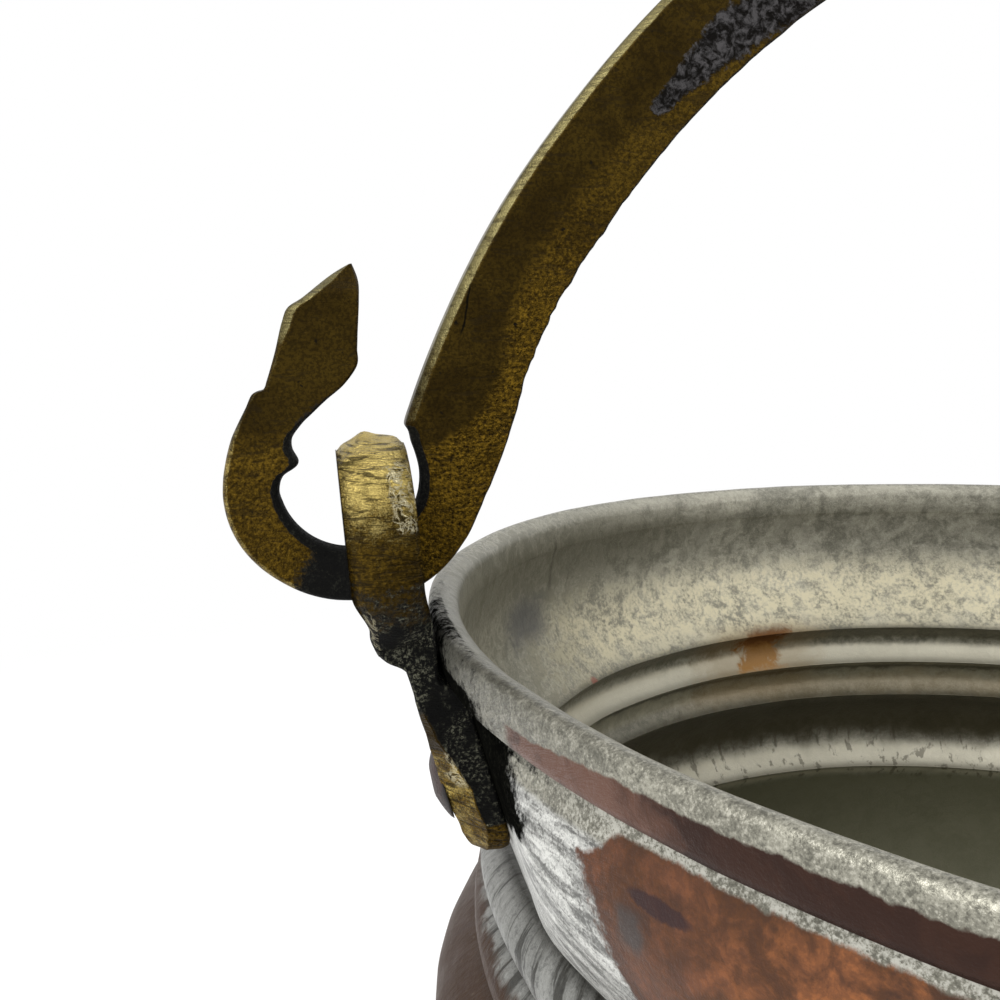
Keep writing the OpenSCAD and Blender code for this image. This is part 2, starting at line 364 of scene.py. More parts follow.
# the profile of floor, wall, lip, inner wall and inner floor, turned once round the upright axis
def buildBody():
    size = bodySizes
    wall = bodyWall()
    lip = np.array([
        (108.4, 6.5), (109.3, 6.35), (109.95, 5.9), (110.2, 5.1), (110.35, 3.8), (110.45, 2.5), (110.45, 1.5),
        (110.25, 0.8), (109.9, 0.3), (109.3, 0.05), (108.6, 0.15), (107.9, 0.45), (107.2, 0.85), (106.6, 1.3),
        (106.25, 1.9), (106.12, 2.7), (106.1, 4.2),
    ])
    inner = wall.copy()
    inner[:, 0] -= size["sheet"]
    inner = inner[inner[:, 1] < size["height"] - size["sheet"] - 3]
    floorRim = size["baseRadius"] - size["sheet"]
    floorDrop = size["height"] - size["sheet"]
    rows = [(r, size["height"]) for r in (0.01, 14, 30, 48, 64, 76, 83)]
    rows += [(size["baseRadius"] - 0.8, size["height"])]
    rows += list(map(tuple, wall[::-1]))
    outerCount = len(rows)
    rows += list(map(tuple, lip))
    rows += list(map(tuple, inner))
    rows += [(floorRim, floorDrop - 1.2), (floorRim - 1.5, floorDrop)]
    rows += [(r, floorDrop) for r in (80, 70, 56, 40, 24, 10, 0.01)]
    rows = np.array(rows)
    r, depth = rows[:, 0][:, None], rows[:, 1][:, None]
    turn = np.linspace(0, 2 * math.pi, size["around"], endpoint=False)[None, :]
    isInner = (np.arange(len(rows)) >= outerCount + 11).astype(float)[:, None]
    # the collar is hammered flat behind each ear
    flat = size["neckRadius"] - (depth - size["seatTop"]) * math.tan(math.radians(size["seatLean"]))
    flat = flat - isInner * size["sheet"]
    flatRadius = flat / np.maximum(np.abs(np.cos(turn)), 0.2)
    inCollar = (depth > 7.2) & (depth < 34.5)
    soft = 0.5
    softLow = -soft * np.logaddexp(-flatRadius / soft, -(r + 0 * turn) / soft)
    radius = np.where(inCollar, softLow, r + 0 * turn)
    # slight hammered unevenness, the same inside and out
    x, y = np.cos(turn) * r, np.sin(turn) * r
    z = size["height"] - depth + 0 * turn
    near = waveNoise(x, y, z, 34.0, 3) * size["wobble"] + waveNoise(x, y, z, 13.0, 8) * size["wobble"] * 0.35
    near *= smoothStep(0, 12, size["height"] - depth) * smoothStep(20, 60, r)
    awayFromEars = smoothStep(0.05, 0.2, np.abs(np.sin(turn)))
    radius = radius + near * (0.15 + 0.85 * awayFromEars)
    lipZone = smoothStep(7.5, 5.5, depth) * (1 - 0 * turn)
    z = z - lipZone * 0.22 * (1 + waveNoise(x, y, 0 * x, 45.0, 21)) * 0.5
    z = z - lipZone * 0.07 * (1 + waveNoise(x, y, 0 * x, 9.0, 22)) * 0.5
    radius = np.minimum(radius, 116.4)
    grid = np.stack([radius * np.cos(turn), radius * np.sin(turn), z], -1)
    # painted shade along the creases between the mouldings
    creases = [34.4, 43.1, 52.0, 72.5]
    crease = sum(np.exp(-((depth - c) / 0.9) ** 2) for c in creases)
    full = np.ones_like(turn)
    attributes = {"inside": isInner * full, "drop": depth * full, "crease": crease * full}
    return ringMesh("pailShell", grid, attributes)


body = buildBody()
print("body built", len(body.data.polygons))

# ---------- bail ----------

bailSizes = {
    "halfThick": 2.5,
    "archInner": 107.9,
    "archOuter": 119.7,
    "archCentreDrop": 13.2,  # arch centre below the rim
    "hookCentre": (-120.3, 17.5),  # along X and above the rim
    "bendInner": 8.4,
    "bendOuter": 14.4,
    "legGrow": 5.3,          # how far the leg opens out above the bend
    "lump": 2.2,             # casting lump inside the bend
    "roughEdge": 0.13,       # how nibbled the inner edge is
    "steps": 470,            # rings along one half
}

# the leaf from its tip down to the bend, only its corners and flanks: across and up from the hook's
# centre, first the outer edge and then the inner edge
leafCorners = [
    (0.4, 25.2, 0.8, 25.3),      # tip
    (-1.2, 24.2, 1.3, 24.0),
    (-5.0, 21.2, 1.5, 21.0),     # sloping edge
    (-6.7, 20.0, 1.4, 19.0),     # shoulder
    (-7.3, 18.5, 1.3, 17.5),
    (-8.2, 15.0, 1.2, 15.5),     # flank
    (-9.2, 11.8, 1.0, 13.2),
    (-9.6, 10.8, -0.4, 11.3),    # ledge, and the corner across from it
    (-10.9, 10.2, -2.5, 9.5),
    (-11.7, 8.6, -4.1, 8.0),
    (-12.8, 6.5, -5.5, 6.6),
]


# both edges from the leaf round the bend to the leg: the bend is two arcs about one centre, the inner one
# carries a lump, and the outer one opens out into the leg by a power of the angle
def hookStations():
    size = bailSizes
    across, rise = size["hookCentre"]
    rows = [[across + a, rise + b, across + c, rise + d] for a, b, c, d in leafCorners]
    for turn in [160, 165.5, 171, 180, 188, *range(200, 345, 12), 349, 358, 366, 371, 374.5, 377]:
        outer = size["bendOuter"] + 0.6 * smoothStep(165, 200, turn) - 0.3 * smoothStep(210, 240, turn)
        outer += 0.9 * smoothStep(270, 305, turn) + size["legGrow"] * max(0, (turn - 330) / 50) ** 2.4
        facing = turn - 16 * (1 - smoothStep(160, 188, turn)) + 27 * max(0, (turn - 345) / 32) ** 1.5
        inner = size["bendInner"] - size["lump"] * math.exp(-((facing - 163) / 12) ** 2)
        inner += 0.8 * smoothStep(385, 404, facing)
        a, b = math.radians(turn), math.radians(facing)
        rows.append([across + outer * math.cos(a), rise + outer * math.sin(a),
                     across + inner * math.cos(b), rise + inner * math.sin(b)])
    return rows


# one half of the bar: both edges, distance along, and how far it is into the arch
def bailHalf(seed):
    size = bailSizes
    stations = hookStations()
    corner = len(stations) - 1
    for angle in (18.4, 19.0, *np.arange(22.0, 90.1, 2.0)):
        turned = math.radians(angle)
        start = 1 - float(smoothStep(19, 22, angle))
        lean = math.radians(angle + 1.6 * (1 - float(smoothStep(20, 30, angle))) + 0.35 * start)
        inner = size["archInner"] + 0.55 * math.exp(-((angle - 27) / 5) ** 2)
        inner -= 0.15 * float(smoothStep(42, 54, angle))
        inner -= 0.4 * start
        outer = size["archOuter"] + 0.5 * float(smoothStep(36, 52, angle))
        outer -= 0.35 * float(smoothStep(60, 88, angle))
        stations.append([
            -inner * math.cos(lean), inner * math.sin(lean) - size["archCentreDrop"],
            -outer * math.cos(turned), outer * math.sin(turned) - size["archCentreDrop"],
        ])
    stations = np.array(stations)
    middle = (stations[:, :2] + stations[:, 2:]) / 2
    along = np.concatenate([[0], np.cumsum(np.linalg.norm(np.diff(middle, axis=0), axis=1))])
    u = np.concatenate([np.linspace(0, 75, int(size["steps"] * 0.55), endpoint=False),
                        np.linspace(75, along[-1], size["steps"] - int(size["steps"] * 0.55))])
    edges = smoothCurve(np.column_stack([along, stations]), u)
    # nibbled inner edge, deepest a quarter of the way up the arch
    angle = np.degrees(np.arctan2(edges[:, 1] + size["archCentreDrop"], -edges[:, 0]))
    archPart = smoothStep(52, 62, u)
    nibble = 0.8 * waveNoise(u, 0 * u, 0 * u, 7.0, seed) + 0.8 * waveNoise(u, 0 * u, 0 * u, 2.2, seed + 1)
    nibble *= size["roughEdge"] * archPart * (0.35 + np.exp(-((angle - 29) / 7) ** 2))
    inward = edges[:, 2:] - edges[:, :2]
    inward /= np.linalg.norm(inward, axis=1)[:, None]
    edges[:, :2] += inward * (nibble - 0.12)[:, None]
    wave = 0.1 * waveNoise(u, 0 * u, 0 * u, 26.0, seed + 2) * archPart
    edges[:, 2:] += inward * (wave - 0.08)[:, None]
    return edges, u, angle, along[corner]


def buildBail():
    size = bailSizes
    left, uLeft, aLeft, cornerAt = bailHalf(31)
    right, uRight, aRight, cornerAt = bailHalf(57)
    right[:, [0, 2]] *= -1
    edges = np.concatenate([left, right[::-1][1:]])
    u = np.concatenate([uLeft, uRight[::-1][1:]])
    angle = np.concatenate([aLeft, aRight[::-1][1:]])
    side = np.concatenate([-np.ones(len(left)), np.ones(len(right) - 1)])
    rings = len(edges)
    first, second = edges[:, :2], edges[:, 2:]
    width = np.linalg.norm(second - first, axis=1)
    # chamfer widths at both edges; the bend is rounded so that it turns in its eye
    bend = smoothStep(19, 25, u) * smoothStep(61, 52, u)
    arch = smoothStep(56, 62, u)
    leafTop = smoothStep(12.5, 8, u)
    tipThin = smoothStep(0, 4.5, u)
    thick = size["halfThick"] * (0.3 + 0.7 * tipThin)
    cutFirst = 0.3 + 0.55 * bend + 0.95 * leafTop * smoothStep(0, 2.5, u) - 0.05 * arch
    cutSecond = 0.35 + 0.75 * bend + 0.75 * arch
    deepFirst = 0.35 + 0.95 * bend + 0.55 * leafTop * smoothStep(0, 3, u)
    deepSecond = 0.35 + 1.35 * bend + 0.75 * arch
    cutFirst = np.minimum(cutFirst, width * 0.3)
    cutSecond = np.minimum(cutSecond, width * 0.3)
    deepFirst = np.minimum(deepFirst, thick * 0.78)
    deepSecond = np.minimum(deepSecond, thick * 0.78)
    # section as steps round it: across, through, and which zone it is in
    face = (1 - np.cos(np.linspace(0, math.pi, 19))) / 2
    corner = np.linspace(0, 1, 6)[1:-1]
    sideSteps = np.linspace(-1, 1, 5)
    columns, zones = [], []

    def put(across, through, zone):
        columns.append((across, through))
        zones.append(zone)

    # a corner leaves one face and joins the next along a quarter arc, blended with a straight cut
    roundness = 0.25 + 0.75 * bend

    def leave(t):
        return roundness * math.sin(math.pi / 2 * t) + (1 - roundness) * t

    def join(t):
        return roundness * (1 - math.cos(math.pi / 2 * t)) + (1 - roundness) * t

    flat = width - cutFirst - cutSecond
    for t in face:
        put(cutFirst + flat * t, -thick, 0)
    for t in corner:
        put(width - cutSecond + cutSecond * leave(t), -thick + deepSecond * join(t), 1)
    for t in sideSteps:
        put(width, (thick - deepSecond) * t, 2)
    for t in corner:
        put(width - cutSecond * join(t), thick - deepSecond * (1 - leave(t)), 1)
    for t in face:
        put(width - cutSecond - flat * t, thick, 0)
    for t in corner:
        put(cutFirst * (1 - leave(t)), thick - deepFirst * join(t), 3)
    for t in sideSteps:
        put(0 * width, -(thick - deepFirst) * t, 4)
    for t in corner:
        put(cutFirst * join(t), -thick + deepFirst * (1 - leave(t)), 3)
    across = np.stack([c[0] + 0 * width for c in columns], 1)
    through = np.stack([c[1] + 0 * width for c in columns], 1)
    zones = np.array(zones)[None, :]
    direction = (second - first) / width[:, None]
    x = first[:, 0][:, None] + direction[:, 0][:, None] * across
    z = first[:, 1][:, None] + direction[:, 1][:, None] * across
    # cast and hammered faces are not quite flat
    uneven = waveNoise(x, through, z, 11.0, 71) * 0.09 + waveNoise(x, through, z, 4.2, 72) * 0.04
    uneven = uneven * (1 - 0.75 * bend[:, None]) - 0.05
    through = through * (1 + uneven / size["halfThick"])
    share = across / width[:, None]
    grid = np.stack([x, through, z + bodySizes["height"]], -1)
    angle2, u2 = angle[:, None] + 0 * share, u[:, None] + 0 * share
    isFace = (zones == 0)
    # where the golden cast skin shows: the inner part of the arch, widening down to the hook
    limit = 0.42 - 0.16 * np.exp(-((angle2 - 23.2) / 2.6) ** 2) + 0.75 * smoothStep(20.5, 16.5, angle2)
    limit = limit - 0.3 * smoothStep(36, 58, angle2)
    wander = 0.05 * waveNoise(x, 0 * x, z, 9.0, 80) + 0.03 * waveNoise(x, 0 * x, z, 3.0, 81)
    golden = smoothStep(0.12, -0.12, share - limit + wander) * smoothStep(50, 56, u2)
    golden = golden * (1 - 0.68 * smoothStep(24, 36, angle2))
    golden = np.maximum(golden, 0.58 * smoothStep(21, 27, u2) * smoothStep(58, 50, u2))
    # second edge of the arch and the leaf's sloping edge are bright: partly worn brass, partly a painted
    # highlight where these top edges catch the light
    low = smoothStep(cornerAt + 14, cornerAt + 2, u2)
    firstEdge, secondEdge = (zones == 3) | (zones == 4), (zones == 1) | (zones == 2)
    worn = np.where(secondEdge, smoothStep(cornerAt, cornerAt + 1, u2) * (0.8 - 0.34 * low), 0)
    worn = np.maximum(worn, np.where(firstEdge, smoothStep(11.5, 8.5, u2) * 0.72, 0))
    worn = np.maximum(worn, 0.5 * smoothStep(0.1, 0.0, share) * isFace * smoothStep(24, 18, u2))
    worn = np.maximum(worn, np.where(firstEdge, 0.42 * smoothStep(17, 22, u2) * smoothStep(52, 44, u2), 0))
    # black dirt: inside of the bend, the lump, the landing under the ring, specks along the arch
    inBend = 0.95 * smoothStep(13, 19, u2) * smoothStep(cornerAt + 0.4, cornerAt - 0.6, u2)
    onLump = 0.6 * smoothStep(0.74, 1.0, share) * smoothStep(15, 20, u2) * smoothStep(48, 40, u2)
    dirtAndShade = np.maximum(np.where(secondEdge, inBend, 0), onLump)
    dirtAndShade = np.maximum(dirtAndShade, 0.85 * smoothStep(38.5, 43.5, u2) * smoothStep(55, 47, u2))
    dirtAndShade = np.maximum(dirtAndShade, np.where(firstEdge, 0.6 * smoothStep(55, 62, u2), 0))
    # grey crust high on the left of the arch
    crustLine = 0.31 - 0.08 * smoothStep(46, 53, angle2) + 0.03 * waveNoise(x, 0 * x, z, 6.0, 90)
    crustWidth = 0.12 + 0.2 * smoothStep(42, 51, angle2)
    crust = np.exp(-((share - crustLine) / crustWidth) ** 2) * smoothStep(40.2, 42.2, angle2)
    crust = crust * smoothStep(68, 55, angle2)
    crust = crust * np.where(isFace, 1, 0.2) * (side[:, None] < 0) * (through < 0)
    attributes = {"golden": golden, "worn": worn, "dirtAndShade": dirtAndShade, "crust": crust}
    return ringMesh("castBail", grid, attributes)


bail = buildBail()
print("bail built", len(bail.data.polygons))

# ---------- ears ----------

earSizes = {
    "ringX": -116.9,
    "ringRise": 9.1,
    "ringRadius": 13.7,
    "eyeRadius": 6.95,
    "halfThick": 4.1,
    "lean": 4.6,
}


# ring with a belled hole, worn and wrinkled outside; its own axis points along X
def buildRing(seed):
    size = earSizes
    bell, eye, outer = size["halfThick"], size["eyeRadius"], size["ringRadius"]
    section = []
    for a in np.radians(np.linspace(0, 180, 21)):
        section.append((-bell * math.cos(a), eye + bell - bell * math.sin(a)))
    for t in (0.3, 0.6, 0.85):
        section.append((bell, eye + bell + (outer - eye - bell - 1.2) * t))
    for a in np.radians(np.linspace(0, 90, 5)):
        section.append((bell - 1.1 + 1.1 * math.cos(a), outer - 1.1 + 1.1 * math.sin(a)))
    for t in np.linspace(1, -1, 15)[1:-1]:
        section.append(((bell - 1.1) * t, outer))
    for a in np.radians(np.linspace(90, 0, 5)):
        section.append((-bell + 1.1 - 1.1 * math.cos(a), outer - 1.1 + 1.1 * math.sin(a)))
    for t in (0.85, 0.6, 0.3):
        section.append((-bell, eye + bell + (outer - eye - bell - 1.2) * t))
    section = np.array(section)
    turn = np.linspace(0, 2 * math.pi, 240, endpoint=False)[:, None]
    axial = section[:, 0][None, :] + 0 * turn
    radius = section[:, 1][None, :] + 0 * turn
    y, z = np.sin(turn) * radius, np.cos(turn) * radius
    # low on the outer side the ring is worn to a slope
    low = 0.42 * smoothStep(-3.0, -8.5, z) + 0.12 * smoothStep(-9.0, -12.5, z)
    castAxial = axial
    axial = np.where(axial < 0, axial * (1 - low), axial * (1 + 0.14 * smoothStep(-3.0, -8.0, z)))
    outside = smoothStep(outer - 1.5, outer - 0.3, radius)
    ripple = waveNoise(axial * 0.35, y, z, 3.1, seed) * 0.16 + waveNoise(axial, y, z, 7.5, seed + 1) * 0.12
    chips = waveNoise(axial, y, z, 2.3, seed + 2) * 0.22
    chips = chips * smoothStep(1.2, 3.4, axial) * smoothStep(9, 0, np.abs(z))
    nub = 0.55 * np.exp(-((y / 2.2) ** 2 + ((axial + 0.6) / 1.1) ** 2)) * (z > 0)
    domed = np.where(axial < 0, 1.25, 0.8) * (np.abs(axial) / bell) ** 2.2
    grow = (ripple - 0.24 - domed + chips - 0.15 * (chips > 0)) * outside + nub * outside
    radius2 = radius + grow
    y, z = np.sin(turn) * radius2, np.cos(turn) * radius2
    lean = math.radians(size["lean"])
    wx = axial * math.cos(lean) - z * math.sin(lean)
    wz = axial * math.sin(lean) + z * math.cos(lean)
    grid = np.stack([wx + size["ringX"], y, wz + bodySizes["height"] + size["ringRise"]], -1)
    # the ring is lighter towards its top: partly rubbed brass, partly painted light from above
    worn = 0.76 * smoothStep(-2, 10, z) * outside
    # glint: a painted highlight of bright gold
    glint = np.exp(-((z - 9.3) / 3.0) ** 2 - ((axial + 2.6) / 2.2) ** 2) * outside
    worn = np.maximum(worn, 0.98 * glint)
    # knocked and crusted: the outer half of the ring on one side, its rim low on the other
    chip = 0.8 * smoothStep(0.0, 1.8, axial - 0.12 * (9 - z)) * smoothStep(1.5, 5, z)
    chip = chip * smoothStep(12, 10, z) * outside
    chip = np.maximum(chip, 0.8 * smoothStep(-2.0, -3.2, castAxial) * smoothStep(-3, -6, z) * outside)
    # darker towards the bottom of the ring and inside its eye
    inEye = 0.85 * (1 - smoothStep(eye + bell - 1.5, outer - 0.5, radius))
    dirtAndShade = np.maximum(0.9 * smoothStep(-2.5, -10.5, z), inEye)
    dirtAndShade = np.maximum(dirtAndShade, 0.5 * smoothStep(4, -6, z))
    # gold colour low on the outside, near the top and under the painted glint
    golden = outside * np.maximum(0.35 * smoothStep(6, 0, z) + 0.75 * glint, 0.6 * smoothStep(1, 8, z))
    return grid, {"golden": golden, "worn": worn, "dirtAndShade": dirtAndShade, "chip": chip}


# strap from inside the ring down to its rounded foot, levels measured from the rim
def buildStrap(seed):
    levels = np.array([
        (1.5, -118.6, -111.4, 8.3), (-1.0, -118.3, -111.0, 8.4), (-2.2, -117.7, -110.8, 8.4),
        (-3.0, -117.0, -110.8, 8.4), (-3.6, -116.2, -110.8, 8.3), (-4.2, -115.0, -110.8, 8.2),
        (-4.8, -114.3, -110.7, 8.1), (-5.6, -114.1, -110.6, 8.1), (-6.4, -113.9, -110.2, 8.0),
        (-7.4, -113.6, -108.4, 7.8), (-8.5, -113.3, -107.3, 7.6), (-12.0, -112.4, -106.2, 7.5),
        (-16.0, -111.2, -105.0, 7.5), (-20.0, -110.4, -103.8, 7.5), (-23.5, -109.2, -102.8, 7.5),
        (-26.0, -108.0, -102.0, 7.4), (-28.0, -107.2, -101.6, 7.3), (-29.4, -106.4, -101.7, 7.2),
        (-30.4, -105.5, -102.4, 7.1), (-31.0, -104.5, -103.4, 7.0),
    ])
    depth = np.concatenate([np.linspace(1.5, -24, 90), np.linspace(-24, -31.0, 50)[1:]])
    outerX, innerX, half = smoothCurve(levels[::-1], depth).T
    below = np.clip((-23.2 - depth) / 7.85, 0, 0.995)
    half = half * np.sqrt(1 - below**2)
    cut = 0.4 + 0.6 * smoothStep(-9, -13, depth) + 2.6 * np.clip((-13.5 - depth) / 6.5, 0, 1)
    cut = np.minimum(cut, half * 0.5)
    cut = np.minimum(cut, (innerX - outerX) * 0.6)
    face = np.linspace(-1, 1, 13)
    cornerSteps = (0.0, 0.04, 0.5, 0.96, 1.0)
    columns = []
    for t in face[1:-1]:
        columns.append((outerX, (half - cut) * t, 0))
    for t in cornerSteps:
        columns.append((outerX + cut * t, half - cut * (1 - t), 1))
    for t in np.linspace(0, 1, 9)[1:-1]:
        columns.append((outerX + cut + (innerX - 0.3 - outerX - cut) * t, half, 2))
    for t in (0.0, 0.5, 1.0):
        columns.append((innerX - 0.3 * (1 - t), half - 0.3 * t, 3))
    for t in face[::-1][1:-1]:
        columns.append((innerX, (half - 0.3) * t, 3))
    for t in (0.0, 0.5, 1.0):
        columns.append((innerX - 0.3 * t, -half + 0.3 * (1 - t), 3))
    for t in np.linspace(1, 0, 9)[1:-1]:
        columns.append((outerX + cut + (innerX - 0.3 - outerX - cut) * t, -half, 2))
    for t in cornerSteps[::-1]:
        columns.append((outerX + cut * t, -half + cut * (1 - t), 1))
    x = np.stack([c[0] for c in columns], 1)
    y = np.stack([c[1] for c in columns], 1)
    zone = np.array([c[2] for c in columns])[None, :] + 0 * x
    level = depth[:, None] + 0 * x
    rough = waveNoise(x, y, level, 4.0, seed) * 0.13 + waveNoise(x, y, level, 1.9, seed + 1) * 0.06
    seat = smoothStep(1.6, 0.4, innerX[:, None] - x)
    x = x + 0.085 * (y + half[:, None]) * smoothStep(-13, -21, level) * (1 - seat)
    x = x + (rough - 0.05) * (1 - seat) * np.where(zone == 3, 0, 1) * 0.7
    y = y * (1 + (rough - 0.1) * np.where(zone >= 2, 1, 0.3) / 9)
    x = np.minimum(x, innerX[:, None])
    grid = np.stack([x, y, level + bodySizes["height"]], -1)
    facet = np.where(zone == 1, 1, 0) * smoothStep(-14.0, -16.5, level)
    worn = facet * (0.38 + 0.2 * waveNoise(x, y, level, 2.4, seed + 6))
    footEdge = -24.6 + 0.5 * waveNoise(x, y, level, 3.0, seed + 4)
    foot = smoothStep(0.4, -0.4, level - footEdge)
    # the strap is blackened: grime, and painted shade on its side face
    dirtAndShade = np.where(zone == 1, 0.25, 0.97) * (1 - 0.85 * foot) * (1 - 0.6 * facet)
    dirtAndShade = np.maximum(dirtAndShade, 0.9 * smoothStep(-11.5, -8.5, level))
    dirtAndShade = np.where(zone == 0, 0.55, dirtAndShade)
    crustEdge = np.exp(-((level - footEdge - 0.25) / 0.32) ** 2) * (zone == 2)
    crustEdge = crustEdge * smoothStep(1.2, 2.4, innerX[:, None] - x)
    golden = np.maximum(foot * 0.9, 0.85 * facet)
    ridge = (zone == 1) * smoothStep(-14.0, -15.5, level) * smoothStep(-21.5, -18.5, level)
    chip = np.maximum(crustEdge * 0.9, ridge * smoothStep(0.9, 2.0, x - outerX[:, None]))
    return grid, {"golden": golden, "worn": worn, "dirtAndShade": dirtAndShade, "chip": chip}


def buildEar(name, side, seed):
    pieces = []
    for part, (grid, values) in enumerate((buildRing(seed), buildStrap(seed + 20))):
        if side > 0:
            grid = grid * np.array([-1, 1, 1])
        pieces.append(ringMesh(name + "Part" + str(part), grid, values, closedAlong=part == 0))
    return joinMeshes(name, pieces)


leftEar = buildEar("leftRingEar", -1, 140)
rightEar = buildEar("rightRingEar", 1, 260)
print("ears built", len(leftEar.data.polygons))

# ---------- ear rivets ----------

rivetSizes = {"head": 4.6, "dome": 1.5, "shank": 2.2, "drop": 20.5, "strap": 5.9, "peen": 3.7}


# a profile of head, shank and peened end turned round the rivet's own axis, then leaned like the seat
def buildRivet(name, side, seed):
    size = rivetSizes
    profile = [(0.02, -size["strap"] - size["dome"])]
    for t in np.linspace(0.12, 1, 12):
        profile.append((size["head"] * t, -size["strap"] - size["dome"] * (1 - t**2) ** 0.75))
    profile += [(size["head"] - 0.12, -size["strap"] + 0.02), (size["shank"] + 0.2, -size["strap"] + 0.02)]
    profile += [(size["shank"], -size["strap"] + 0.3), (size["shank"], 1.2), (size["shank"] + 0.1, 1.42)]
    profile += [(size["peen"] - 0.1, 1.42), (size["peen"], 1.55), (size["peen"] * 0.9, 1.85)]
    profile += [(size["peen"] * 0.6, 2.1), (size["peen"] * 0.25, 2.18), (0.02, 2.2)]
    profile = np.array(profile)
    turn = np.linspace(0, 2 * math.pi, 72, endpoint=False)[None, :]
    r, depth = profile[:, 0][:, None] + 0 * turn, profile[:, 1][:, None] + 0 * turn
    y, up = np.cos(turn) * r, np.sin(turn) * r
    dent = waveNoise(depth, y, up, 5.0, seed) * 0.16 * smoothStep(-size["strap"], -size["strap"] - 0.6, depth)
    dent += waveNoise(depth, y, up, 4.0, seed + 3) * 0.08 * smoothStep(1.5, 1.9, depth)
    depth = depth + np.abs(dent) * np.where(depth < 0, 1, -1)
    # same lean as the flat behind the ear
    lean = math.radians(bodySizes["seatLean"])
    low = -(size["drop"] - bodySizes["seatTop"]) / math.cos(lean)
    wx = depth * math.cos(lean) - (up + low) * math.sin(lean) - bodySizes["neckRadius"]
    wz = depth * math.sin(lean) + (up + low) * math.cos(lean) + bodySizes["height"] - bodySizes["seatTop"]
    grid = np.stack([wx * (-side), y, wz], -1)
    return ringMesh(name, grid)


leftRivet = buildRivet("leftEarRivet", -1, 310)
rightRivet = buildRivet("rightEarRivet", 1, 330)
print("rivets built")

# ---------- materials ----------

bodyLook = {
    "tinDark": (0.18, 0.174, 0.14),
    "tinLight": (0.36, 0.348, 0.285),
    "tinSpeck": (0.56, 0.54, 0.46),
    "creamTin": (0.66, 0.6, 0.415),
    "deepTin": (0.22, 0.215, 0.145),
    "brownCopper": (0.066, 0.037, 0.022),
    "redCopper": (0.2, 0.085, 0.046),
    "orangeHighlightCopper": (0.44, 0.165, 0.06),
    "darkCopper": (0.06, 0.038, 0.032),
    "lipCopper": (0.15, 0.08, 0.058),
    "rust": (0.3, 0.14, 0.03),
    "darkRust": (0.1, 0.034, 0.012),
    "tinPit": (0.07, 0.067, 0.055),
    "innerDark": (0.19, 0.183, 0.142),
    "innerLight": (0.46, 0.44, 0.355),
    "patinaAndShade": (0.105, 0.102, 0.073),
    "upperShade": (0.11, 0.105, 0.075),
    "troughShade": (0.065, 0.06, 0.036),
    "crest": (0.72, 0.68, 0.54),
    "secondCrestHighlight": (0.5, 0.47, 0.35),
    "scratch": (0.06, 0.055, 0.04),
    "ochre": (0.27, 0.19, 0.075),
    "hollowShadeAndDirt": (0.05, 0.04, 0.017),
    "runs": (0.06, 0.05, 0.03),
    "creaseShadeInside": (0.05, 0.045, 0.025),
    "blueTin": (0.085, 0.087, 0.095),
    "rustHalo": (0.26, 0.17, 0.065),
    "redSpot": (0.25, 0.06, 0.04),
    "ovalStain": (0.05, 0.033, 0.035),
    "greyPatch": (0.075, 0.07, 0.068),
    "brushed": (0.22, 0.18, 0.14),
    "fanDark": (0.14, 0.14, 0.13),
    "fanLight": (0.74, 0.74, 0.7),
    "plainDark": (0.17, 0.17, 0.157),
    "plainLight": (0.34, 0.34, 0.318),
    "foldLine": (0.04, 0.038, 0.032),
    "fanSpeck": (0.03, 0.03, 0.028),
    "grimeInside": (0.085, 0.083, 0.066),
    "grime": (0.075, 0.073, 0.06),
    "paleStrip": (0.56, 0.55, 0.49),
    "lipDark": (0.036, 0.02, 0.016),
    "creaseShadeOutside": (0.03, 0.028, 0.022),
}


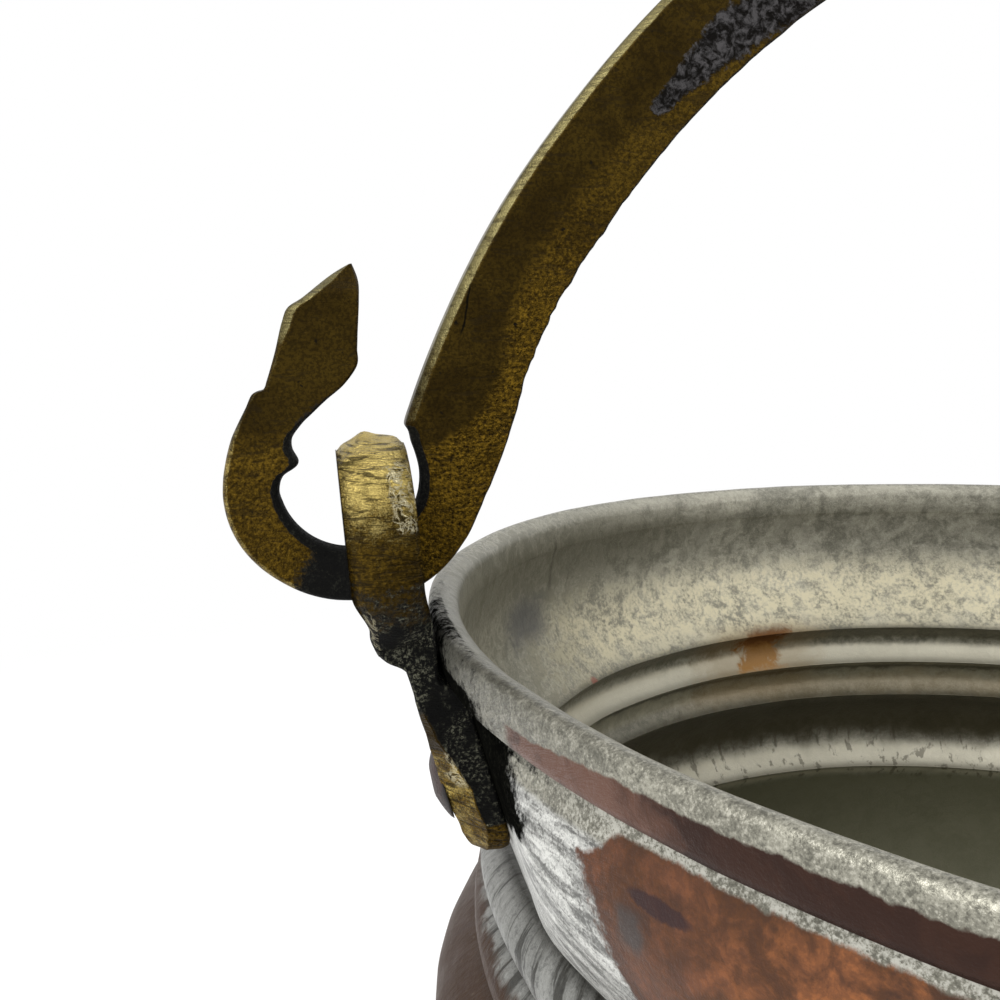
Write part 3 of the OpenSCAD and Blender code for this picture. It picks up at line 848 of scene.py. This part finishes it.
def bodyMaterial():
    look = bodyLook
    material, tree, shader = newMaterial("tinnedCopper")

    add, less, times, scaled, most, mix, ease, zone, noisy = tied(tree)

    # centred noise of a given size in millimetres and reach
    def drift(value, amount):
        return scaled(value, amount, -0.5 * amount)

    def joined(a, b, c):
        return addNode(tree, "ShaderNodeCombineXYZ", {0: a, 1: b, 2: c}).outputs[0]

    # a colour from the dictionary laid over another where the mask is, at most by share
    def coat(under, mask, share, name):
        return mix(times(mask, share), under, look[name])

    pos = objectMm(tree)
    x, y, z = split(tree, pos)
    turn = times(math2(tree, "ARCTAN2", times(y, -1.0), times(x, -1.0)), 57.2958)  # in degrees
    side = math2(tree, "ABSOLUTE", y)
    earSide = ease(math2(tree, "ABSOLUTE", x), 60.0, 80.0)
    drop, inside, crease = attribute(tree, "drop"), attribute(tree, "inside"), attribute(tree, "crease")
    mid = noisy(pos, 0.1, 4.0, 0.55, 0.3)
    mottle = noisy(pos, 0.34, 5.0, 0.62, 0.5)
    fine = noisy(pos, 1.3, 4.0, 0.66)
    grit = noisy(pos, 3.4, 3.0, 0.7)

    # tinned surface: grey mottled with darker worn spots and pale specks
    cloud = add(add(mottle, drift(fine, 1.1)), drift(grit, 1.2))
    tin = mix(ease(cloud, 0.2, 0.8), look["tinDark"], look["tinLight"])
    tin = coat(tin, ease(add(fine, drift(grit, 1.2)), 0.56, 0.74), 0.5, "tinSpeck")
    tin = coat(tin, ease(add(grit, drift(fine, 0.8)), 0.44, 0.34), 0.4, "tinPit")

    # inside: grey high up, pale cream above the first crease, dark olive lower down
    level = add(drop, drift(mid, 7.0))
    cream = times(zone(level, 20.0, 34.0, 5.0), ease(turn, -30.0, -52.0))
    softTin = mix(ease(add(mid, drift(mottle, 0.9)), 0.3, 0.7), look["innerDark"], look["innerLight"])
    within = mix(0.4, softTin, tin)
    # mottled olive patina on the left of the inside, laid on partly as painted shade there
    patinaAndShade = times(ease(add(mid, drift(mottle, 1.3)), 0.47, 0.64), ease(turn, -66.0, -40.0))
    within = coat(within, patinaAndShade, 0.62, "patinaAndShade")
    creamy = scaled(ease(add(mottle, drift(fine, 0.9)), 0.3, 0.66), 0.8, 0.1)
    within = mix(times(cream, creamy), within, look["creamTin"])
    smudge = times(ease(mid, 0.52, 0.64), zone(drop, 6.0, 19.0, 3.0))
    within = coat(within, smudge, 0.4, "tinDark")
    # painted shade high on the left of the inside
    upperShade = times(zone(turn, -68.0, -18.0, 9.0), zone(level, 4.0, 14.0, 4.0))
    within = coat(within, upperShade, 0.55, "upperShade")
    uneven = add(drop, drift(mottle, 1.6))
    # painted shade in the bands just below the first two creases, where the wall faces down
    troughShade = most(zone(uneven, 34.4, 37.8, 0.8), zone(uneven, 44.3, 45.4, 0.6))
    within = coat(within, troughShade, 0.72, "troughShade")
    # painted highlights on the upward-facing first ridge, and a painted pool of light low on the far wall
    crest = most(zone(uneven, 39.2, 43.8, 0.9), zone(drop, 67.5, 75.0, 1.5))
    within = coat(within, crest, 0.72, "crest")
    # painted highlight on the second ridge, patchy
    second = times(zone(uneven, 45.9, 49.2, 0.8), scaled(mottle, 1.0, 0.0))
    within = mix(second, within, look["secondCrestHighlight"])
    scratchLine = times(zone(add(turn, drift(fine, 0.8)), -43.2, -42.7, 0.25), zone(drop, 5.0, 15.0, 1.5))
    within = coat(within, scratchLine, 0.6, "scratch")
    ochre = times(zone(level, 47.0, 52.5, 1.5), ease(turn, -55.0, -80.0))
    within = coat(within, ochre, 0.4, "ochre")
    # dark band under the shoulder inside: painted shade, with some dirt
    hollowShadeAndDirt = zone(level, 52.0, 66.0, 3.5)
    within = coat(within, hollowShadeAndDirt, 0.88, "hollowShadeAndDirt")
    within = coat(within, ease(level, 73.0, 77.0), 0.86, "deepTin")
    streakRun = noisy(stretch(tree, pos, 0.5, 0.5, 0.06), 1.0, 3.0, 0.6)
    runs = times(ease(streakRun, 0.56, 0.66), zone(drop, 64.0, 76.0, 2.0))
    within = coat(within, runs, 0.6, "runs")
    # painted shade in the creases inside
    within = coat(within, crease, 0.55, "creaseShadeInside")
    blue = times(zone(add(turn, drift(mottle, 6.0)), -41.0, -33.0, 2.2), zone(level, 15.5, 23.5, 2.5))
    within = coat(within, blue, 0.75, "blueTin")
    # one iron stain that ran over the first ridge
    shaky = add(turn, add(drift(mottle, 8.0), drift(fine, 1.6)))
    wanderDown = add(drop, add(drift(mottle, 3.0), drift(fine, 1.2)))
    run = times(zone(shaky, -81.5, -75.0, 1.0), zone(wanderDown, 34.4, 43.0, 1.2))
    halo = times(zone(shaky, -87.0, -68.0, 4.0), zone(drop, 32.5, 50.0, 2.2))
    fringe = times(zone(shaky, -81.5, -75.3, 1.5), zone(add(drop, drift(mottle, 5.0)), 33.2, 37.5, 1.2))
    within = coat(within, halo, 0.42, "rustHalo")
    within = coat(within, run, 0.85, "rust")
    within = coat(within, fringe, 0.75, "darkRust")
    spot = addNode(tree, "ShaderNodeVectorMath", {0: pos, 1: (-69.7, 70.0, 115.9)}, operation="DISTANCE")
    spot = spot.outputs["Value"]
    within = coat(within, ease(spot, 1.5, 0.6), 0.7, "redSpot")

    # outside copper: brown low down, red where the collar is rubbed, with a painted orange highlight on the
    # collar
    rubbed = ease(add(mid, drift(mottle, 0.5)), 0.42, 0.62)
    collar = zone(drop, 8.0, 33.0, 2.0)
    copper = mix(times(collar, scaled(rubbed, 0.6, 0.4)), look["brownCopper"], look["redCopper"])
    # painted orange highlight on the collar's side
    orangeHighlight = times(times(collar, ease(side, 47.0, 68.0)), ease(add(mottle, drift(mid, 0.7)), 0.36, 0.68))
    copper = coat(copper, orangeHighlight, 0.9, "orangeHighlightCopper")
    blotch = ease(add(noisy(pos, 0.16, 5.0, 0.6, 0.8), drift(fine, 0.25)), 0.56, 0.66)
    copper = coat(copper, blotch, 0.5, "darkCopper")
    shade = times(ease(fine, 0.62, 0.42), 0.35)
    copper = mix(shade, copper, look["darkCopper"])
    ovalAcross = math2(tree, "DIVIDE", less(turn, 26.5), 1.9)
    ovalDown = math2(tree, "DIVIDE", less(add(drop, drift(fine, 0.8)), 12.6), 0.85)
    oval = add(times(ovalAcross, ovalAcross), times(ovalDown, ovalDown))
    copper = coat(copper, ease(oval, 1.35, 0.6), 0.85, "ovalStain")
    patch = times(zone(add(turn, drift(mottle, 2.0)), 24.0, 25.8, 0.5), zone(drop, 14.2, 17.8, 0.8))
    copper = coat(copper, patch, 0.75, "greyPatch")
    # pale brushed streaks left on the shoulder and belly
    brushed = noisy(stretch(tree, pos, 1.0, 1.0, 0.16), 1.1, 4.0, 0.65)
    pale = times(ease(brushed, 0.56, 0.7), ease(mid, 0.4, 0.6))
    copper = coat(copper, times(pale, ease(drop, 44.0, 52.0)), 0.28, "brushed")

    # tin brushed out in a fan from the foot of each ear
    below = less(drop, 14.0)
    fan = math2(tree, "ARCTAN2", side, below)
    reach = math2(tree, "SQRT", add(times(side, side), times(below, below)))
    combed = joined(times(fan, 26.0), times(reach, 0.16), times(x, 0.01))
    comb = noisy(combed, 1.0, 5.0, 0.68, 0.35)
    bristle = ease(add(comb, add(drift(grit, 0.6), drift(fine, 0.5))), 0.34, 0.66)
    fanTin = mix(bristle, look["fanDark"], look["fanLight"])
    # below the collar it is a plainer grey with a few dark creases
    longer = joined(times(fan, 15.0), times(reach, 0.05), 3.0)
    folds = noisy(longer, 1.0, 4.0, 0.6, 0.25)
    plain = mix(ease(add(folds, drift(grit, 0.6)), 0.25, 0.75), look["plainDark"], look["plainLight"])
    plain = coat(plain, ease(folds, 0.44, 0.38), 0.85, "foldLine")
    fanTin = mix(ease(add(drop, drift(mottle, 4.0)), 30.0, 35.0), fanTin, plain)
    sooty = times(ease(side, 34.0, 14.0), ease(drop, 22.0, 10.0))
    speck = ease(add(add(fine, drift(grit, 0.5)), times(sooty, 0.14)), 0.53, 0.63)
    fanTin = mix(times(speck, scaled(sooty, 0.45, 0.45)), fanTin, look["fanSpeck"])
    grimeIn = times(times(ease(add(side, drift(mottle, 20.0)), 62.0, 14.0), ease(drop, 9.0, 1.0)), earSide)
    within = coat(within, grimeIn, 0.5, "grimeInside")
    grime = times(ease(add(side, drift(mottle, 20.0)), 56.0, 14.0), ease(drop, 7.0, 5.0))
    grimy = coat(tin, grime, 0.55, "grime")
    outer = mix(ease(drop, 9.8, 10.8), grimy, fanTin)
    strip = times(zone(drop, 6.5, 10.0, 0.3), ease(side, 30.0, 44.0))
    outer = mix(times(strip, times(ease(cloud, 0.34, 0.7), 0.85)), outer, look["paleStrip"])
    # how far the bare copper has come: the collar beyond the fan, the shoulder below it
    edge = add(side, scaled(drop, -0.5, -33.0))
    ragged = add(edge, add(drift(mottle, 5.0), drift(fine, 2.4)))
    corner = times(ease(edge, 7.0, 0.0), -3.6)
    belowStrip = add(add(drop, corner), add(drift(mottle, 1.2), drift(fine, 0.6)))
    bare = times(ease(ragged, -0.7, 0.7), ease(belowStrip, 8.2, 8.7))
    low = ease(add(drop, add(drift(mottle, 4.0), drift(comb, 3.0))), 44.6, 46.4)
    lower = most(bare, low)
    outline = times(ease(ragged, 3.0, 0.5), collar)
    copper = coat(copper, outline, 0.4, "darkCopper")
    outer = mix(lower, outer, copper)
    rim = scaled(ease(side, 46.0, 29.0), 1.3, 2.3)
    onLip = less(add(drop, add(drift(mottle, 1.3), drift(fine, 0.5))), rim)
    lipBare = times(ease(onLip, -0.15, 0.2), ease(add(side, drift(mottle, 4.0)), 28.0, 30.0))
    lipBare = times(lipBare, ease(drop, 6.6, 6.3))
    lipCopper = mix(times(ease(side, 42.0, 62.0), 0.75), look["lipCopper"], look["redCopper"])
    lipCopper = coat(lipCopper, ease(add(mid, drift(mottle, 0.6)), 0.5, 0.64), 0.7, "darkCopper")
    lipCopper = coat(lipCopper, ease(add(side, drift(mottle, 12.0)), 43.0, 54.0), 0.92, "lipDark")
    outer = mix(lipBare, outer, lipCopper)
    # painted shade in the creases outside
    outer = coat(outer, crease, 0.8, "creaseShadeOutside")
    color = mix(inside, outer, within)

    # soot and grease round the ears, heaviest against the strap; beside and under the strap the black is also
    # painted shade between strap and wall
    reachOut = less(add(side, add(drift(mottle, 5.0), drift(mid, 5.0))),
                     scaled(drop, 0.8, 17.5))
    lowEnd = add(add(drop, times(side, 0.42)), add(drift(mottle, 6.0), drift(mid, 5.0)))
    # beside the strap: soot together with painted shade of the strap
    besideStrap = times(times(ease(reachOut, 6.5, -4.5), ease(lowEnd, 29.5, 26.0)), ease(drop, 5.6, 7.4))
    onRim = times(ease(side, 40.0, 8.0), ease(drop, 9.5, 6.5))
    heavy = add(times(ease(side, 11.0, 7.0), 0.16), times(ease(drop, 2.0, 5.6), 0.34))
    onRim = times(onRim, add(heavy, 0.4))
    under = times(ease(side, 30.0, 15.0), zone(drop, 3.6, 9.5, 0.9))
    amount = most(besideStrap, onRim)
    amount = most(amount, under)
    groove = times(zone(drop, 6.2, 8.6, 0.3), ease(side, 44.0, 20.0))
    amount = most(amount, times(groove, 0.62))
    amount = times(times(amount, earSide), less(1.0, inside))
    # black soot, partly painted shade by the straps
    dirtAndShade = useGroup(tree, sootAndShade, {"Vector": pos, "Amount": amount, "Crumbs": 0.08})
    color = mix(dirtAndShade["Mask"], color, dirtAndShade["Color"])
    tree.links.new(color, shader.inputs["Base Color"])

    stain = times(most(run, fringe), inside)
    dull = most(dirtAndShade["Mask"], times(stain, 0.9))
    tinShare = less(1.0, most(lower, lipBare))
    metal = mixValue(tree, tinShare, 0.97, 0.72)
    metal = mixValue(tree, inside, metal, 0.42)
    tree.links.new(mixValue(tree, dull, metal, 0.0), shader.inputs["Metallic"])
    gloss = scaled(mottle, 0.3, 0.26)
    gloss = scaled(times(ease(drop, 34.0, 50.0), less(1.0, inside)), 0.12, gloss)
    tree.links.new(mixValue(tree, dull, gloss, 0.8), shader.inputs["Roughness"])
    tree.links.new(mixValue(tree, dull, 0.5, 0.0), shader.inputs["Specular IOR Level"])
    height = add(times(mottle, 0.16), times(fine, 0.07))
    height = add(height, times(times(comb, 0.28), times(ease(reach, 55.0, 35.0), less(1.0, inside))))
    height = add(height, times(dirtAndShade["Mask"], times(dirtAndShade["Height"], 0.7)))
    height = add(height, times(grit, 0.05))
    tree.links.new(bump(tree, height, 0.9), shader.inputs["Normal"])
    return material


def brassMaterial(name, crusty, scratch):
    material, tree, shader = newMaterial(name)
    add, less, times, scaled, most, mix, ease, zone, noisy = tied(tree)
    pos = objectMm(tree)
    golden, worn, dirtAndShadeAmount = attribute(tree, "golden"), attribute(tree, "worn"), attribute(tree, "dirtAndShade")
    brass = useGroup(tree, castBrass, {"Vector": pos, "WearAndHighlight": worn, "Rough": golden})
    color, rough, height = brass["Color"], brass["Roughness"], brass["Height"]
    # file and wear lines
    lines = noisy(stretch(tree, pos, *scratch), 1.0, 3.0, 0.6, 0.6)
    dark = ease(lines, 0.5 if not crusty else 0.43, 0.38)
    color = mix(times(dark, 0.5 if crusty else 0.78), color, (0.02, 0.014, 0.006))
    height = add(height, times(lines, 0.75 if not crusty else 0.2))
    # black specks
    specks = noisy(pos, 1.1, 2.0, 0.5)
    color = mix(ease(specks, 0.71, 0.77), color, (0.01, 0.008, 0.005))
    if crusty:
        x, y, z = split(tree, pos)
        bend = add(x, scaled(z, -0.19, 142.0))
        bend = add(bend, scaled(noisy(pos, 0.7), 0.7, -0.35))
        crack = times(zone(bend, -0.12, 0.12, 0.07), zone(z, 184.6, 190.4, 0.8))
        crack = times(crack, ease(y, 0.5, -0.5))
        color = mix(crack, color, (0.006, 0.005, 0.003))
        crumb = noisy(pos, 0.9, 6.0, 0.7, 0.4)
        level = add(attribute(tree, "crust"), scaled(crumb, 0.9, -0.45))
        crust = ease(level, 0.46, 0.66)
        crustColor = mix(ease(crumb, 0.42, 0.64), (0.01, 0.009, 0.008), (0.105, 0.1, 0.102))
        color = mix(crust, color, crustColor)
        height = add(height, times(times(crust, crumb), 0.5))
        rough = mixValue(tree, crust, rough, 0.75)
    dirtAndShade = useGroup(tree, sootAndShade, {"Vector": pos, "Amount": dirtAndShadeAmount, "Crumbs": 0.12 if crusty else 1.0})
    color = mix(dirtAndShade["Mask"], color, dirtAndShade["Color"])
    height = add(height, times(dirtAndShade["Mask"], dirtAndShade["Height"]))
    if not crusty:
        # chips: pale broken crests round dark pits
        broken = noisy(stretch(tree, pos, 1.0, 1.0, 0.6), 0.62, 6.0, 0.7, 0.9)
        chip = scaled(noisy(pos, 0.42, 3.0), 1.3, -0.65)
        chip = add(chip, attribute(tree, "chip"))
        pit = times(ease(broken, 0.45, 0.4), ease(chip, 0.4, 0.7))
        color = mix(times(pit, 0.85), color, (0.012, 0.01, 0.006))
        crest = times(zone(broken, 0.455, 0.515, 0.012), ease(chip, 0.35, 0.65))
        color = mix(times(crest, 0.7), color, (0.58, 0.53, 0.36))
        height = add(height, times(less(crest, pit), 0.35))
    tree.links.new(color, shader.inputs["Base Color"])
    tree.links.new(mixValue(tree, dirtAndShade["Mask"], 1.0, 0.03), shader.inputs["Metallic"])
    tree.links.new(mixValue(tree, dirtAndShade["Mask"], rough, 0.7), shader.inputs["Roughness"])
    tree.links.new(mixValue(tree, dirtAndShade["Mask"], 0.5, 0.12), shader.inputs["Specular IOR Level"])
    tree.links.new(bump(tree, height, 0.8), shader.inputs["Normal"])
    return material


def rivetMaterial():
    material, tree, shader = newMaterial("rivetCopper")
    add, less, times, scaled, most, mix, ease, zone, noisy = tied(tree)
    pos = objectMm(tree)
    cloud = noisy(pos, 0.5, 4.0, 0.6)
    color = mix(ease(cloud, 0.4, 0.62), (0.02, 0.016, 0.015), (0.05, 0.03, 0.026))
    crumbs = noisy(pos, 2.0, 4.0, 0.65)
    color = mix(ease(crumbs, 0.58, 0.68), color, (0.02, 0.015, 0.012))
    tree.links.new(color, shader.inputs["Base Color"])
    shader.inputs["Metallic"].default_value = 0.35
    tree.links.new(scaled(crumbs, 0.3, 0.42), shader.inputs["Roughness"])
    tree.links.new(bump(tree, times(crumbs, 0.2)), shader.inputs["Normal"])
    return material


body.data.materials.append(bodyMaterial())
bail.data.materials.append(brassMaterial("bailBrass", True, (0.28, 0.28, 1.4)))
earBrass = brassMaterial("earBrass", False, (0.32, 0.25, 2.6))
leftEar.data.materials.append(earBrass)
rightEar.data.materials.append(earBrass)
rivetCopper = rivetMaterial()
leftRivet.data.materials.append(rivetCopper)
rightRivet.data.materials.append(rivetCopper)
print("materials ready")

# ---------- frame: what each piece stands for and moves with ----------

for piece, part, node, slot in (
    (body, "pail", "bucket_body", "tinned_copper"),
    (leftEar, "pail", "left_ear", "ear_brass"),
    (rightEar, "pail", "right_ear", "ear_brass"),
    (leftRivet, "pail", "left_ear_rivet", "rivet_copper"),
    (rightRivet, "pail", "right_ear_rivet", "rivet_copper"),
    (bail, "bail", "bail", "bail_brass"),
):
    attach(piece, part)
    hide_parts(node)

# ---------- floor, light, camera ----------

studio = {
    "white": 1.0,          # what the camera and reflections see behind the pail
    "fill": 1.0,           # soft light from all round
    "keyPower": 9.0,       # watts, large soft light high on the left
    "keyPlace": (-0.75, -0.55, 1.05),
    "keySize": 0.7,
    "sidePower": 2.0,
    "sidePlace": (0.9, -0.7, 0.5),
}

floorMesh = bpy.data.meshes.new("studioFloor")
floorMesh.from_pydata([(-4, -4, 0), (4, -4, 0), (4, 4, 0), (-4, 4, 0)], [], [(0, 1, 2, 3)])
floor = bpy.data.objects.new("studioFloor", floorMesh)
bpy.context.scene.collection.objects.link(floor)
floorMaterial, tree, shader = newMaterial("paleFloor")
shader.inputs["Base Color"].default_value = (0.95, 0.95, 0.95, 1)
shader.inputs["Roughness"].default_value = 0.9
# far from the pail the floor fades into the white behind it
coords = addNode(tree, "ShaderNodeTexCoord").outputs["Object"]
away = addNode(tree, "ShaderNodeVectorMath", {0: coords}, operation="LENGTH").outputs["Value"]
glowing = addNode(tree, "ShaderNodeEmission", {"Color": (1, 1, 1, 1), "Strength": 1.0})
blendNode = addNode(tree, "ShaderNodeMixShader", {0: fade(tree, away, 0.18, 0.6)})
tree.links.new(shader.outputs[0], blendNode.inputs[1])
tree.links.new(glowing.outputs[0], blendNode.inputs[2])
output = [n for n in tree.nodes if n.type == "OUTPUT_MATERIAL"][0]
tree.links.new(blendNode.outputs[0], output.inputs["Surface"])
floorMesh.materials.append(floorMaterial)

world = bpy.data.worlds.new("studioWorld")
bpy.context.scene.world = world
world.use_nodes = True
tree = world.node_tree
tree.nodes.clear()
path = tree.nodes.new("ShaderNodeLightPath")
seen = math2(tree, "ADD", path.outputs["Is Camera Ray"], path.outputs["Is Glossy Ray"], clamp=True)
seen = math2(tree, "ADD", seen, path.outputs["Is Transmission Ray"], clamp=True)
strength = mixValue(tree, seen, studio["fill"], studio["white"])
sky = addNode(tree, "ShaderNodeBackground", {"Color": (1, 1, 1, 1), "Strength": strength})
worldOut = tree.nodes.new("ShaderNodeOutputWorld")
tree.links.new(sky.outputs[0], worldOut.inputs["Surface"])


def addArea(name, place, power, size, aim):
    light = bpy.data.lights.new(name, "AREA")
    light.energy = power
    light.size = size
    lamp = bpy.data.objects.new(name, light)
    bpy.context.scene.collection.objects.link(lamp)
    lamp.location = place
    toward = np.array(aim) - np.array(place)
    lamp.rotation_euler = (math.atan2(math.hypot(toward[0], toward[1]), -toward[2]), 0,
                           math.atan2(toward[1], toward[0]) - math.pi / 2)
    return lamp


addArea("keyLight", studio["keyPlace"], studio["keyPower"], studio["keySize"], (-0.05, 0, 0.15))
addArea("sideLight", studio["sidePlace"], studio["sidePower"], 0.6, (0, 0, 0.12))

view = {"place": (-0.12331, -0.12122, 0.18234), "heading": (0.174, 0.985), "down": 8.32, "lens": 36.0}
lens = bpy.data.cameras.new("photoCamera")
lens.lens = view["lens"]
lens.sensor_width = 36.0
lens.clip_start = 0.01
camera = bpy.data.objects.new("photoCamera", lens)
bpy.context.scene.collection.objects.link(camera)
camera.location = view["place"]
camera.rotation_euler = (math.radians(90 - view["down"]), 0,
                         math.atan2(view["heading"][1], view["heading"][0]) - math.pi / 2)
bpy.context.scene.camera = camera
bpy.context.scene.view_settings.view_transform = "Standard"
